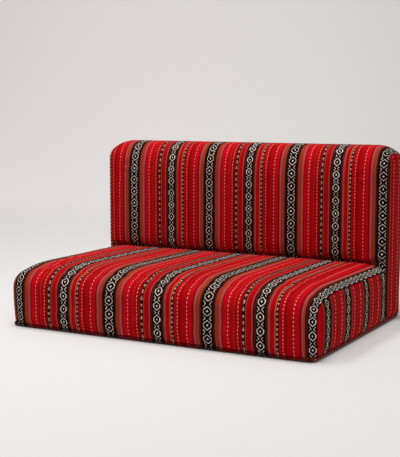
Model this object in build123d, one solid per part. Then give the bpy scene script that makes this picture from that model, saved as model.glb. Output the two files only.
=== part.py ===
from build123d import *
import os
from math import cos, radians, sin, tan

# A two-seat majlis floor sofa. The row origin is the middle of the floor area under it.
# +X is the sitter's left, which is right in a view from the front. The front faces -Y.

# Driving sizes of the whole sofa
seam_width = 1186.0
side_swell = 7.0
seat_depth = 668.0
back_depth = 172.0
seat_height = 223.0
back_height = 650.0
foot_height = 4.0

# Layers, from the outside in
cover_thick = 2.0
wadding_thick = 4.0
overrun = 20.0
fit_gap = 0.3

# Shape of the seat pad
seat_roll = 66.0
seat_seam_roll = 48.0
roll_turn = 75.0
seat_run = 137.0
seat_lean = 9.0
seat_fall = 3.0
seat_edge_drop = 22.0
seat_front_drop = 26.0
edge_length = 70.0
side_draw = 24.0

# Shape of the backrest block
back_swell = 12.0
back_front_drop = 10.0
back_swell_rise = 70.0
back_edge_drop = 28.0
back_roll = 62.0
back_seam_roll = 44.0
back_rear_roll = 45.0
back_rear_seam_roll = 36.0
back_roll_turn = 78.0
rear_swell = 6.0
rear_edge_drop = 3.0
rear_swell_low = 100.0
rear_swell_high = 240.0
valley_gap = 8.0

# Welt round the foot
welt_height = 11.0
welt_depth = 9.0
welt_round = 3.5
welt_corner = 20.0

# Timber base
base_side_gap = 18.0
rail_height = 56.0
rail_thick = 22.0
base_set_back = 28.0
cross_rail_share = 1 / 3
block_leg = 60.0
deck_thick = 9.0
vent_radius = 15.0
vent_columns = 3
vent_rows = 2
dust_thick = 1.0

# Backrest frame
post_depth = 45.0
post_width = 60.0
board_thick = 3.0
top_rail_height = 45.0
back_crown_foam = 70.0
middle_rail_height = 40.0
middle_rail_share = 0.5
rear_foam_thick = 8.0

# Foam
seat_base_foam = 72.0

# Bolts through the rear rail and the posts
bolt_radius = 4.0
bolt_clearance = 0.3
bolt_head_radius = 7.5
bolt_head_height = 5.3
washer_radius = 8.5
washer_thick = 1.6
nut_height = 6.5
pocket_radius = 9.6
pocket_depth = 14.0
bolt_low = 24.0
bolt_high = 44.0
bolt_side_gap = 2.0

# Deck screws
screw_radius = 2.0
screw_head_radius = 4.0
screw_head_height = 2.5
screw_length = 34.0
screw_end_margin = 40.0

# Glides
glide_radius = 13.0
glide_round = 1.2
glide_nail_radius = 1.6
glide_nail_length = 18.0
glide_margin = 70.0

# Zip in the outside back
zip_end_margin = 53.0
zip_height = 62.0
zip_slot = 12.4
tape_width = 14.0
tape_thick = 0.8
coil_gap = 1.6
coil_width = 3.0
coil_thick = 1.5
stop_length = 3.0
slider_length = 11.0
slider_width = 10.0
slider_plate = 1.2
slider_clearance = 0.4
slider_wall = 0.8
slider_neck = 0.8
slider_neck_length = 2.0
slider_end_gap = 0.5
lug_thick = 1.2
bar_radius = 0.7
bar_rise = 2.5
eye_hole_radius = 1.2
eye_radius = 2.0
eye_width = 5.4
pull_length = 27.0
pull_width = 7.0
pull_thick = 1.2
pull_slot_length = 8.0
pull_slot_width = 3.0
pull_neck_share = 0.3
wadding_slot = 32.0
wadding_margin = 7.0

# Places that follow from the sizes above
total_depth = seat_depth + back_depth
front_y = -total_depth / 2
seam_y = front_y + seat_depth
rear_y = total_depth / 2
half_seam = seam_width / 2
base_half = half_seam - base_side_gap
cross_rail_place = base_half * cross_rail_share
zip_length = seam_width - 2 * zip_end_margin
frame_low = foot_height + dust_thick
cover_low = foot_height + welt_height + fit_gap
skin = cover_thick + wadding_thick
rail_top = frame_low + rail_height
deck_top = rail_top + deck_thick
base_front = front_y + base_set_back
board_rear = rear_y - rear_swell - skin - rear_foam_thick
post_rear = board_rear - board_thick
post_front = post_rear - post_depth
board_front = post_front - board_thick
foam_split = deck_top + seat_base_foam
back_frame_top = back_height - back_crown_foam
middle_rail_place = frame_low + (back_frame_top - frame_low) * middle_rail_share

# Stations along the width, as shares of the soft edge beside each seam, and how far the seam's
# drop has faded there. Beyond the seam the side swells out while its outline draws in.
edge_shares = (0.0, 0.4, 1.0)
fade_share = 2.2

# Small round pieces are drawn with this many sides
shank_sides = 8
nail_sides = 8
disc_sides = 12
vent_sides = 16
corner_flats = 2


def block(x0, x1, y0, y1, z0, z1):
    """A box between its two corners."""
    size = Box(x1 - x0, y1 - y0, z1 - z0)
    return Pos((x0 + x1) / 2, (y0 + y1) / 2, (z0 + z1) / 2) * size


def rod(radius, length, x, y, z, sides, along="Z"):
    """A bar drawn with so many sides, that starts at a point and runs along an axis."""
    turn = {"Z": (0, 0, 0), "Y": (-90, 0, 0), "X": (0, 90, 0)}[along]
    return Pos(x, y, z) * (Rot(*turn) * extrude(RegularPolygon(radius, sides), length))


def seat_outline(edge, inset, draw, low):
    """The seat pad's outline from front to back: edge is 0 in the middle and 1 at a seam."""
    draw_in = inset + draw
    front = front_y + seat_front_drop * edge + draw_in
    rear = seam_y - fit_gap - draw_in
    top = seat_height - seat_edge_drop * edge - draw_in
    roll = seat_roll + (seat_seam_roll - seat_roll) * edge - draw_in
    turn = radians(roll_turn)
    run = seat_run - draw_in * cos(turn)
    run_rise = run * tan((radians(90) - turn) / 2)
    roll_low = top - run_rise - roll * sin(turn)
    bottom = low + draw
    toe = (front + seat_lean, bottom)
    brow = (front, roll_low)
    shoulder = (front + roll * (1 - cos(turn)), roll_low + roll * sin(turn))
    crest = (shoulder[0] + run, top)
    heel = (rear, top - seat_fall)
    foot = (rear, bottom)
    return [
        Line(foot, toe),
        TangentArc(brow, toe, tangent=(0, -1)),
        TangentArc(brow, shoulder, tangent=(0, 1)),
        TangentArc(shoulder, crest, tangent=(cos(radians(90) - turn), sin(radians(90) - turn))),
        TangentArc(crest, heel, tangent=(1, 0)),
        Line(heel, foot),
    ]


def back_outline(edge, inset, draw, low):
    """The backrest's outline from front to back, with its bulge over the rear of the seat."""
    draw_in = inset + draw
    base = seam_y + fit_gap + draw_in
    front = seam_y - back_swell + back_front_drop * edge + draw_in
    rear = rear_y - rear_edge_drop * edge - draw_in
    top = back_height - back_edge_drop * edge - draw_in
    roll = back_roll + (back_seam_roll - back_roll) * edge - draw_in
    rear_roll = back_rear_roll + (back_rear_seam_roll - back_rear_roll) * edge - draw_in
    turn = radians(back_roll_turn)
    left_over = radians(90) - turn
    run = rear - front - (roll + rear_roll) * (1 - cos(turn))
    roll_end = top - run / 2 * tan(left_over / 2)
    bottom = low + draw
    valley = seat_height + valley_gap
    belly = valley + back_swell_rise
    toe = (base, bottom)
    lip = (base, valley)
    chest = (front, belly)
    brow = (front, roll_end - roll * sin(turn))
    front_end = (front + roll * (1 - cos(turn)), roll_end)
    rear_end = (rear - rear_roll * (1 - cos(turn)), roll_end)
    nape = (rear, roll_end - rear_roll * sin(turn))
    spine = (rear, rear_swell_high)
    tail = (rear - rear_swell + rear_edge_drop * edge, rear_swell_low)
    foot = (tail[0], bottom)
    return [
        Line(foot, toe),
        Line(toe, lip),
        TangentArc(chest, lip, tangent=(0, -1)),
        Line(chest, brow),
        TangentArc(brow, front_end, tangent=(0, 1)),
        TangentArc(front_end, rear_end, tangent=(cos(left_over), sin(left_over))),
        TangentArc(nape, rear_end, tangent=(0, 1)),
        Line(nape, spine),
        TangentArc(spine, tail, tangent=(0, -1)),
        Line(tail, foot),
    ]


def soft_form(outline, inset, low):
    """A pad lofted across the width: flat in the middle, falling to the seams, swelling at the sides."""
    seam = half_seam - inset
    stations = [(seam + side_swell, 1.0, side_draw)]
    for share in edge_shares:
        stations.append((seam - share * edge_length, (1 - share) ** fade_share, 0.0))
    across = [(-x, edge, draw) for x, edge, draw in stations]
    across += [(x, edge, draw) for x, edge, draw in reversed(stations)]
    faces = []
    for x, edge, draw in across:
        at = Plane(origin=(x, 0, 0), x_dir=(0, 1, 0), z_dir=(1, 0, 0))
        faces.append(at * make_face(outline(edge, inset, draw, low)))
    return loft(faces, ruled=True)


def between(part, x0, x1, y0, y1, z0, z1):
    """What of a part lies inside a box."""
    return part & block(x0, x1, y0, y1, z0, z1)


wide = half_seam + side_swell + overrun
high = back_height + overrun
seat_outer = soft_form(seat_outline, 0.0, cover_low)
seat_inner = soft_form(seat_outline, cover_thick, cover_low - fit_gap)
seat_core = soft_form(seat_outline, skin, cover_low - fit_gap)
back_outer = soft_form(back_outline, 0.0, cover_low)
back_inner = soft_form(back_outline, cover_thick, cover_low - fit_gap)
back_core = soft_form(back_outline, skin, cover_low - fit_gap)

# The space that the timber base and the deck fill, which the covers and pads stop at
base_space = block(-base_half, base_half, base_front, board_rear + rear_foam_thick, 0, deck_top)

nodes = {}


def timber_base():
    """Rails on edge, glued blocks in the corners and a plywood deck with vents."""
    low, top = frame_low, rail_top
    inner = base_half - rail_thick
    back = post_front
    nodes["front_rail"] = block(-base_half, base_half, base_front, base_front + rail_thick, low, top)
    nodes["rear_rail"] = block(-base_half, base_half, back - rail_thick, back, low, top)
    y0, y1 = base_front + rail_thick, back - rail_thick
    nodes["side_rail_left"] = block(-base_half, -inner, y0, y1, low, top)
    nodes["side_rail_right"] = block(inner, base_half, y0, y1, low, top)
    half = rail_thick / 2
    for name, x in (("cross_rail_left", -cross_rail_place), ("cross_rail_right", cross_rail_place)):
        nodes[name] = block(x - half, x + half, y0, y1, low, top)
    wedge = extrude(make_face(Polyline((0, 0), (block_leg, 0), (0, block_leg), close=True)), rail_height)
    faces = (-inner, -cross_rail_place - half, -cross_rail_place + half,
             cross_rail_place - half, cross_rail_place + half, inner)
    nodes["corner_blocks"] = Compound([Pos(x, y0, low) * (Rot(0, 0, 90 * (k % 2)) * wedge)
                                       for k, x in enumerate(faces)])
    deck = block(-base_half, base_half, base_front, board_front + board_thick, rail_top, deck_top)
    seat_span = seam_y - base_front
    bay = 2 * base_half / vent_columns
    for column in range(vent_columns):
        for row in range(vent_rows):
            x = -base_half + bay * (column + 0.5)
            y = base_front + seat_span * (row + 0.5) / vent_rows
            deck -= rod(vent_radius, deck_thick + 2 * overrun, x, y, rail_top - overrun, vent_sides)
    return deck


def screw_places():
    """Deck screws stand over the middle of every rail that the deck lies on."""
    end = base_half - rail_thick / 2
    front = base_front + rail_thick / 2
    back = post_front - rail_thick / 2
    along = [front + screw_end_margin + (back - front - 2 * screw_end_margin) * k / 2 for k in range(3)]
    return [(x, y) for x in (-end, -cross_rail_place, cross_rail_place, end) for y in along]


def deck_screw(x, y):
    """A countersunk screw, its head level with the deck."""
    shank = rod(screw_radius, screw_length, x, y, deck_top - screw_length, nail_sides)
    head = loft([Pos(x, y, deck_top - screw_head_height) * RegularPolygon(screw_radius, nail_sides),
                 Pos(x, y, deck_top) * RegularPolygon(screw_head_radius, nail_sides)], ruled=True)
    return shank + head


def glide_places():
    """Under the corners of the base, and under the middle of its front rail and rear post."""
    front = base_front + rail_thick / 2
    back = post_front + post_depth / 2
    out = base_half - glide_margin
    edge = base_half - post_width / 2
    return [(-out, front), (0, front), (out, front), (-edge, back), (0, back), (edge, back)]


def glide_nail(x, y):
    """The nail of a glide, up through the dust cover into the timber."""
    return rod(glide_nail_radius, glide_nail_length + foot_height, x, y, 0, nail_sides)


def glide(x, y):
    """A round plastic glide, its lower edge eased, moulded on a nail."""
    disc = extrude(RegularPolygon(glide_radius, disc_sides), foot_height)
    disc = chamfer(disc.faces().sort_by(Axis.Z)[0].edges(), glide_round)
    return Pos(x, y, 0) * disc + glide_nail(x, y)


def back_frame():
    """Posts on the rear rail, a top rail over them, rails between them, boards front and rear."""
    y0, y1 = post_front, post_rear
    half = post_width / 2
    post_top = back_frame_top - top_rail_height
    centres = (-(base_half - half), 0, base_half - half)
    names = ("back_post_left", "back_post_middle", "back_post_right")
    for name, x in zip(names, centres):
        nodes[name] = block(x - half, x + half, y0, y1, frame_low, post_top)
    nodes["back_top_rail"] = block(-base_half, base_half, y0, y1, post_top, back_frame_top)
    for name, z0, z1 in (("back_bottom_rails", frame_low, rail_top),
                         ("back_middle_rails", middle_rail_place, middle_rail_place + middle_rail_height)):
        spans = [block(a + half, b - half, y0, y1, z0, z1) for a, b in zip(centres, centres[1:])]
        nodes[name] = Compound(spans)
    nodes["back_front_board"] = block(-base_half, base_half, board_front, y0, deck_top, back_frame_top)
    nodes["back_rear_board"] = block(-base_half, base_half, y1, board_rear, frame_low, back_frame_top)
    return centres


def bolts(centres):
    """Two bolts through each post, heads inside the base and nuts sunk in the post's rear face."""
    shanks, rings, nuts = [], [], []
    end = base_half - rail_thick - washer_radius - bolt_side_gap
    head_y = post_front - rail_thick
    pocket_y = post_rear - pocket_depth
    nut_y = pocket_y + washer_thick
    bore = RegularPolygon(bolt_radius + bolt_clearance, shank_sides)
    for x in (-end, centres[1], end):
        for rise in (bolt_low, bolt_high):
            z = frame_low + rise
            hexagon = Rot(90, 0, 0) * extrude(RegularPolygon(bolt_head_radius, 6), bolt_head_height)
            reach = pocket_y + washer_thick + nut_height + bolt_radius / 2 - head_y + washer_thick
            shank = rod(bolt_radius, reach, x, head_y - washer_thick, z, shank_sides, "Y")
            shanks.append(shank + Pos(x, head_y - washer_thick, z) * hexagon)
            for y in (head_y - washer_thick, pocket_y):
                ring = RegularPolygon(washer_radius, disc_sides) - bore
                rings.append(Pos(x, y, z) * (Rot(-90, 0, 0) * extrude(ring, washer_thick)))
            collar = RegularPolygon(bolt_head_radius, 6) - bore
            nuts.append(Pos(x, nut_y, z) * (Rot(-90, 0, 0) * extrude(collar, nut_height)))
            bore_length = rail_thick + post_depth
            hole = rod(bolt_radius + bolt_clearance, bore_length, x, head_y, z, shank_sides, "Y")
            pocket = rod(pocket_radius, pocket_depth, x, pocket_y, z, disc_sides, "Y")
            nodes["rear_rail"] -= hole
            for name in ("back_post_left", "back_post_middle", "back_post_right"):
                nodes[name] = nodes[name] - hole - pocket
    nodes["frame_bolts"] = Compound(shanks)
    nodes["frame_washers"] = Compound(rings)
    nodes["frame_nuts"] = Compound(nuts)


def split_cover(shell, prefix, middle_name):
    """A cover's middle panel and its two side gussets meet at the side seams."""
    cut = half_seam - cover_thick
    y0, y1 = front_y - overrun, rear_y + overrun
    nodes[middle_name] = between(shell, -cut, cut, y0, y1, 0, high)
    nodes[prefix + "_gusset_left"] = between(shell, -wide, -cut, y0, y1, 0, high)
    nodes[prefix + "_gusset_right"] = between(shell, cut, wide, y0, y1, 0, high)


def soft_parts():
    """Covers, wadding and foam, each the next layer in of the same two forms."""
    split_cover(seat_outer - seat_inner - base_space, "seat", "seat_cover")
    split_cover(back_outer - back_inner - base_space, "back", "back_cover")
    reach = front_y - overrun
    end = rear_y + overrun
    above = block(-wide, wide, reach, end, cover_low + wadding_margin, high)
    nodes["seat_wadding"] = (seat_inner - seat_core - base_space) & above
    slot_half = zip_length / 2 + wadding_slot
    slot = block(-slot_half, slot_half, board_rear + rear_foam_thick, end,
                 zip_height - wadding_slot / 2, zip_height + wadding_slot / 2)
    nodes["back_wadding"] = ((back_inner - back_core - base_space) & above) - slot
    nodes["seat_foam_base"] = between(seat_core, -wide, wide, reach, seam_y, deck_top, foam_split)
    nodes["seat_foam_top"] = between(seat_core, -wide, wide, reach, seam_y, foam_split, high)
    nodes["back_foam_front"] = between(back_core, -wide, wide, reach, board_front, deck_top, high)
    nodes["back_foam_top"] = between(back_core, -wide, wide, board_front, end, back_frame_top, high)
    nodes["back_foam_rear"] = between(back_core, -base_half, base_half, board_rear, end,
                                      cover_low, back_frame_top)
    for name, x0, x1 in (("left", -wide, -base_half), ("right", base_half, wide)):
        nodes["seat_rail_pad_" + name] = between(seat_core, x0, x1, base_front, seam_y, cover_low, deck_top)
        low_pad = between(back_core, x0, x1, seam_y, board_front, cover_low, deck_top)
        nodes["back_side_pad_" + name] = low_pad + between(back_core, x0, x1, board_front, end,
                                                           cover_low, back_frame_top)
    nodes["front_rail_pad"] = between(seat_core, -wide, wide, reach, base_front, cover_low, deck_top)


def welt():
    """Piping sewn round the foot of both covers, in one closed ring with eased front corners."""
    front, rear = front_y + seat_lean, rear_y - rear_swell
    turns = [radians(90) * k / corner_flats for k in range(corner_flats + 1)]
    right = [(half_seam - welt_corner * (1 - cos(t)), front + welt_corner * (1 - sin(t))) for t in turns]
    left = [(-x, y) for x, y in reversed(right)]
    outline = Polyline((half_seam, rear), *right, *left, (-half_seam, rear), close=True)
    solid = extrude(make_face(outline), welt_height)
    solid = fillet(solid.faces().sort_by(Axis.Z)[0].edges() + solid.faces().sort_by(Axis.Z)[-1].edges(),
                   welt_round)
    inner = half_seam - welt_depth
    ring = solid - block(-inner, inner, front + welt_depth, rear - welt_depth, 0, welt_height)
    return Pos(0, 0, foot_height) * ring


def dust_panel():
    """Thin black cloth under the base, inside the welt."""
    front, rear = front_y + seat_lean + welt_depth + fit_gap, rear_y - rear_swell - welt_depth - fit_gap
    width = 2 * (half_seam - welt_depth - fit_gap)
    return block(-width / 2, width / 2, front, rear, foot_height, frame_low)


def zip_parts():
    """A coil zip sewn behind a slot in the outside back, its slider and the pull on the slider."""
    face = rear_y - rear_swell
    back_of_cover = face - cover_thick
    half = zip_length / 2
    slot_end = half + stop_length
    slot = block(-slot_end, slot_end, back_of_cover - overrun / 2, face + overrun,
                 zip_height - zip_slot / 2, zip_height + zip_slot / 2)
    cover = nodes["back_cover"]
    lower = between(cover, -wide, wide, board_rear, rear_y + overrun, 0, zip_height)
    nodes["back_cover_lower"] = lower - slot
    nodes["back_cover"] = cover - block(-wide, wide, board_rear, rear_y + overrun, 0, zip_height) - slot
    tape_y0, tape_y1 = back_of_cover - tape_thick, back_of_cover
    coil_y1 = tape_y1 + coil_thick
    for name, side in (("upper", 1), ("lower", -1)):
        edge = zip_height + side * coil_gap / 2
        spans = sorted((edge + side * coil_gap / 4, edge + side * tape_width))
        nodes["zip_tape_" + name] = block(-slot_end, slot_end, tape_y0, tape_y1, *spans)
        rows = sorted((edge, edge + side * coil_width))
        nodes["zip_coil_" + name] = block(-half, half, tape_y1, coil_y1, *rows)
    stop_half = coil_gap / 2 + coil_width
    stops = []
    for side in (-1, 1):
        x0, x1 = sorted((side * half, side * slot_end))
        stops.append(block(x0, x1, tape_y1, coil_y1, zip_height - stop_half, zip_height + stop_half))
    nodes["zip_stops"] = Compound(stops)
    nodes["zip_slider"] = slider(tape_y0, coil_y1)
    nodes["zip_pull"] = pull(bar_height(coil_y1))


def slider_place():
    """The slider rests at the closed end, just clear of the stop."""
    return -(zip_length / 2 - slider_end_gap - slider_length / 2)


def bar_height(coil_y1):
    """How far back the middle of the slider's bar lies."""
    return coil_y1 + slider_clearance + slider_plate + bar_rise


def slider(tape_y0, coil_y1):
    """Two plates joined by a neck between the coils, side walls, and two lugs that carry a bar."""
    x, z = slider_place(), zip_height
    x0, x1 = x - slider_length / 2, x + slider_length / 2
    z0, z1 = z - slider_width / 2, z + slider_width / 2
    plate_y = coil_y1 + slider_clearance
    under_y = tape_y0 - slider_clearance
    body = block(x0, x1, plate_y, plate_y + slider_plate, z0, z1)
    body += block(x0, x1, under_y - slider_plate, under_y, z0, z1)
    body += block(x0, x0 + slider_neck_length, under_y, plate_y, z - slider_neck / 2, z + slider_neck / 2)
    wall_y = tape_y0 + tape_thick + slider_clearance
    for a, b in ((z0, z0 + slider_wall), (z1 - slider_wall, z1)):
        body += block(x0, x1, wall_y, plate_y, a, b)
    bar_y = bar_height(coil_y1)
    lug_x = eye_width / 2 + slider_clearance
    for side in (-1, 1):
        a, b = sorted((x + side * lug_x, x + side * (lug_x + lug_thick)))
        body += block(a, b, plate_y + slider_plate, bar_y, z - bar_radius - lug_thick / 2,
                      z + bar_radius + lug_thick / 2)
        body += rod(bar_radius + lug_thick / 2, b - a, a, bar_y, z, disc_sides, "X")
    return body + rod(bar_radius, 2 * lug_x, x - lug_x, bar_y, z, disc_sides, "X")


def pull(bar_y):
    """A flat tab whose top is rolled into an eye round the slider's bar. It hangs straight down."""
    x, z = slider_place(), zip_height
    eye = rod(eye_radius, eye_width, x - eye_width / 2, bar_y, z, disc_sides, "X")
    half, neck = pull_width / 2, eye_width / 2
    waist = pull_length * pull_neck_share
    top = eye_hole_radius + (eye_radius - eye_hole_radius) / 2
    end = half - pull_length
    outline = Polyline((-neck, -top), (-neck, -waist), (-half, -waist * 2), (-half, end),
                       (half, end), (half, -waist * 2), (neck, -waist), (neck, -top), close=True)
    tab = make_face(outline) + Pos(0, end) * RegularPolygon(half, disc_sides)
    tab -= Pos(0, end + pull_slot_length / 2) * Rectangle(pull_slot_width, pull_slot_length)
    flat = Plane(origin=(x, bar_y + pull_thick / 2, z), x_dir=(1, 0, 0), z_dir=(0, -1, 0))
    body = eye + extrude(flat * tab, pull_thick)
    hole_x = x - eye_width / 2 - overrun
    return body - rod(eye_hole_radius, eye_width + 2 * overrun, hole_x, bar_y, z, disc_sides, "X")


deck = timber_base()
bolts(back_frame())
for x, y in screw_places():
    hole = deck_screw(x, y)
    deck -= hole
    for name in ("front_rail", "rear_rail", "side_rail_left", "side_rail_right",
                 "cross_rail_left", "cross_rail_right"):
        nodes[name] -= hole
nodes["seat_deck"] = deck
nodes["deck_screws"] = Compound([deck_screw(x, y) for x, y in screw_places()])
soft_parts()
zip_parts()
nodes["base_welt"] = welt()
dust = dust_panel()
glides = [glide(x, y) for x, y in glide_places()]
for x, y in glide_places():
    dust -= glide_nail(x, y)
    for name in ("front_rail", "back_post_left", "back_post_middle", "back_post_right"):
        nodes[name] -= glide_nail(x, y)
nodes["dust_cover"] = dust
nodes["glides"] = Compound(glides)

os.makedirs("parts", exist_ok=True)
for name, shape in nodes.items():
    export_step(shape if isinstance(shape, Compound) else Compound([shape]), f"parts/{name}.step")
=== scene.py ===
import math

import bmesh
import bpy
import numpy as np
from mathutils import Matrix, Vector, geometry


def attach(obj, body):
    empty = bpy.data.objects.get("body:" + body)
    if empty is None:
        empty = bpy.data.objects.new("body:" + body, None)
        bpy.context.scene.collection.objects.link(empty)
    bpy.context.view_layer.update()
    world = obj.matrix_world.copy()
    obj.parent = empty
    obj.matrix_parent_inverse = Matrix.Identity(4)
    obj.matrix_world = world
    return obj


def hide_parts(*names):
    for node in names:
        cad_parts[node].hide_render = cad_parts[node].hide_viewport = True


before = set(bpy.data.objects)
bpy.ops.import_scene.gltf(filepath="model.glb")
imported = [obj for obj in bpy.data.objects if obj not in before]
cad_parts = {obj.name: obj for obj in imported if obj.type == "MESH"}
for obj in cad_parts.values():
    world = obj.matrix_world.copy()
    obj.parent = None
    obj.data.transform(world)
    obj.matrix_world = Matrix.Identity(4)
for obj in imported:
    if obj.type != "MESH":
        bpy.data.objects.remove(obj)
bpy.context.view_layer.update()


# Base frame and backrest frame, of planed pine: rails on edge with cross rails between them and a
# glued block in each corner, and three posts that carry the rails of the backrest. The grain runs
# along each piece.
class Wire:
    """One output of a node. Arithmetic on it adds Math nodes."""

    def __init__(self, graph, socket):
        self.graph, self.socket = graph, socket

    def math(self, operation, *others):
        return self.graph.node("ShaderNodeMath", enumerate((self, *others)), operation=operation)

    def __add__(self, other):
        return self.math("ADD", other)

    __radd__ = __add__

    def __sub__(self, other):
        return self.math("SUBTRACT", other)

    def __rsub__(self, other):
        return self.graph.node("ShaderNodeMath", {0: other, 1: self}, operation="SUBTRACT")

    def __mul__(self, other):
        return self.math("MULTIPLY", other)

    __rmul__ = __mul__

    def __truediv__(self, other):
        return self.math("DIVIDE", other)

    def __lt__(self, other):
        return self.math("LESS_THAN", other)

    def __gt__(self, other):
        return self.math("GREATER_THAN", other)

    def __abs__(self):
        return self.math("ABSOLUTE")

    def within(self, period):
        return self.math("FLOORED_MODULO", period)

    def larger(self, other):
        return self.math("MAXIMUM", other)

    def clipped(self):
        return self.math("MINIMUM", 1.0).larger(0.0)


class Graph:
    """The nodes of one material, or of one tree of Geometry Nodes."""

    def __init__(self, tree):
        self.tree = tree

    def node(self, kind, inputs=(), out=0, **settings):
        made = self.tree.nodes.new(kind)
        for key, value in settings.items():
            setattr(made, key, value)
        for key, value in dict(inputs).items():
            if isinstance(value, Wire):
                self.tree.links.new(value.socket, made.inputs[key])
            else:
                made.inputs[key].default_value = value
        return Wire(self, made.outputs[out] if len(made.outputs) else None)

    def mix(self, share, first, second, blend="MIX"):
        inputs = {0: share, 6: first, 7: second}
        return self.node("ShaderNodeMix", inputs, out=2, data_type="RGBA", blend_type=blend)

    def bands(self, place, stops):
        """A colour from each stop's place up to the next one's."""
        made = self.node("ShaderNodeValToRGB", {0: place})
        ramp = made.socket.node.color_ramp
        ramp.interpolation = "CONSTANT"
        ramp.elements[0].position, ramp.elements[0].color = stops[0]
        ramp.elements[1].position, ramp.elements[1].color = stops[1]
        for position, colour in stops[2:]:
            ramp.elements.new(position).color = colour
        return made

    def vector(self, x, y, z=0.0):
        return self.node("ShaderNodeCombineXYZ", {0: x, 1: y, 2: z})

    def noise(self, place, scale, detail=2.0, out=0):
        inputs = {"Vector": place, "Scale": scale, "Detail": detail}
        return self.node("ShaderNodeTexNoise", inputs, out=out)

    def stretched(self, x=1.0, y=1.0, z=1.0):
        """Object coordinates, stretched along the axes."""
        place = self.node("ShaderNodeTexCoord", out=3)
        return self.node("ShaderNodeVectorMath", {0: place, 1: (x, y, z)}, operation="MULTIPLY")

    def bump(self, height, strength, distance):
        inputs = {"Height": height, "Strength": strength, "Distance": distance}
        return self.node("ShaderNodeBump", inputs)


def shade(r, g, b):
    """A linear colour from the 0 to 255 one that a screen shows."""
    return (*[(c / 255) ** 2.2 for c in (r, g, b)], 1.0)


def new_material(name, **constants):
    """An empty material, its graph, and what connects values to its Principled shader."""
    material = bpy.data.materials.new(name)
    material.use_nodes = True
    graph = Graph(material.node_tree)
    shader = material.node_tree.nodes["Principled BSDF"]
    for key, value in constants.items():
        shader.inputs[key.replace("_", " ")].default_value = value

    def connect(**values):
        for key, value in values.items():
            material.node_tree.links.new(value.socket, shader.inputs[key.replace("_", " ")])
        return material

    return graph, connect


def timber(name, along, light, dark, rings=24.0):
    """Wood whose grain runs along one axis."""
    graph, connect = new_material(name)
    squeeze = [0.06 if axis == along else 1.0 for axis in "xyz"]
    place = graph.stretched(*squeeze)
    bent = graph.noise(place, 9.0, 3.0, out=1)
    warped = graph.node("ShaderNodeVectorMath", {0: place, 1: bent, 2: (1, 1, 1)}, operation="ADD")
    grain = graph.node("ShaderNodeTexWave", {"Vector": warped, "Scale": rings, "Distortion": 3.0,
                                             "Detail": 2.0}, out=1)
    fibre = graph.noise(graph.stretched(*[s * 40 for s in squeeze]), 9.0, 3.0)
    share = 0.6 * grain + 0.4 * fibre
    colour = graph.mix(share, light, dark)
    return connect(Base_Color=colour, Roughness=0.6 + 0.2 * share, Normal=graph.bump(share, 0.3, 0.0004))


def paint(name, material):
    """Gives a carried-over CAD node its material."""
    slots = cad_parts[name].data.materials
    slots.clear()
    slots.append(material)


PINE = shade(214, 178, 128), shade(172, 126, 80)
grains = {axis: timber("timber_" + axis, axis, *PINE) for axis in "xyz"}
timber_nodes = {
    "x": ("front_rail", "rear_rail", "back_top_rail", "back_bottom_rails", "back_middle_rails"),
    "y": ("side_rail_left", "side_rail_right", "cross_rail_left", "cross_rail_right"),
    "z": ("back_post_left", "back_post_middle", "back_post_right", "corner_blocks")}
for axis, names in timber_nodes.items():
    for name in names:
        paint(name, grains[axis])


# Seat deck: a sheet of birch plywood over the base frame, with holes that let air through, held by
# screws. Its grain runs across the sofa.
BIRCH = shade(222, 196, 156), shade(198, 166, 122)
paint("seat_deck", timber("plywood", "x", *BIRCH, rings=12.0))


# Bolts with nuts and washers, which hold the posts to the rear rail, and the screws of the deck.
# All are steel with a spangled coat of zinc.
def metal(name, light, dark, size, rough):
    graph, connect = new_material(name, Metallic=1.0)
    place = graph.stretched()
    spangle = graph.node("ShaderNodeTexVoronoi", {"Vector": place, "Scale": 1 / size}, out=1)
    spangle = graph.node("ShaderNodeSeparateXYZ", {0: spangle})
    smear = graph.noise(place, 0.5 / size, 4.0)
    share = 0.5 * spangle + 0.5 * smear
    return connect(Base_Color=graph.mix(share, dark, light), Roughness=rough - 0.12 + 0.25 * smear,
                   Normal=graph.bump(smear, 0.2, 0.0001))


zinc = metal("zinc_steel", shade(204, 206, 210), shade(160, 164, 170), size=0.003, rough=0.4)
for name in ("frame_bolts", "frame_nuts", "frame_washers", "deck_screws"):
    paint(name, zinc)


# Boards over the front and the rear of the backrest frame, which carry the foam. They are brown
# hardboard, pressed from wood fibres, so they are speckled.
def speckled(name, light, dark, size, depth, rough=0.9, detail=4.0):
    """Pressed or fibrous stuff: two colours, the size of its grain and the depth of its face."""
    graph, connect = new_material(name)
    place = graph.stretched()
    cells = graph.node("ShaderNodeTexVoronoi", {"Vector": place, "Scale": 1 / size}, out=0)
    cloud = graph.noise(place, 0.4 / size, detail)
    share = (0.6 * cells + 0.6 * cloud).math("MINIMUM", 1.0)
    colour = graph.mix(share, dark, light)
    return connect(Base_Color=colour, Roughness=rough - 0.05 + 0.1 * cloud,
                   Normal=graph.bump(share, 0.6, depth))


hardboard = speckled("hardboard", shade(132, 92, 58), shade(92, 60, 36), size=0.0012, depth=0.0003,
                     rough=0.7)
for name in ("back_front_board", "back_rear_board"):
    paint(name, hardboard)


# Foam. The seat has a firm layer of bonded chips under a softer crowned one. The backrest has a
# block in front, a roll on top, pads at its sides and a sheet behind, and strips cover the rails.
foam = speckled("foam", shade(236, 220, 168), shade(206, 184, 128), size=0.0016, depth=0.0008)
chip_foam = speckled("base_foam", shade(168, 190, 196), shade(110, 122, 150), size=0.009, depth=0.001)
for name in ("seat_foam_top", "back_foam_front", "back_foam_top", "back_foam_rear", "back_side_pad_left",
             "back_side_pad_right", "seat_rail_pad_left", "seat_rail_pad_right", "front_rail_pad"):
    paint(name, foam)
paint("seat_foam_base", chip_foam)


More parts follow.
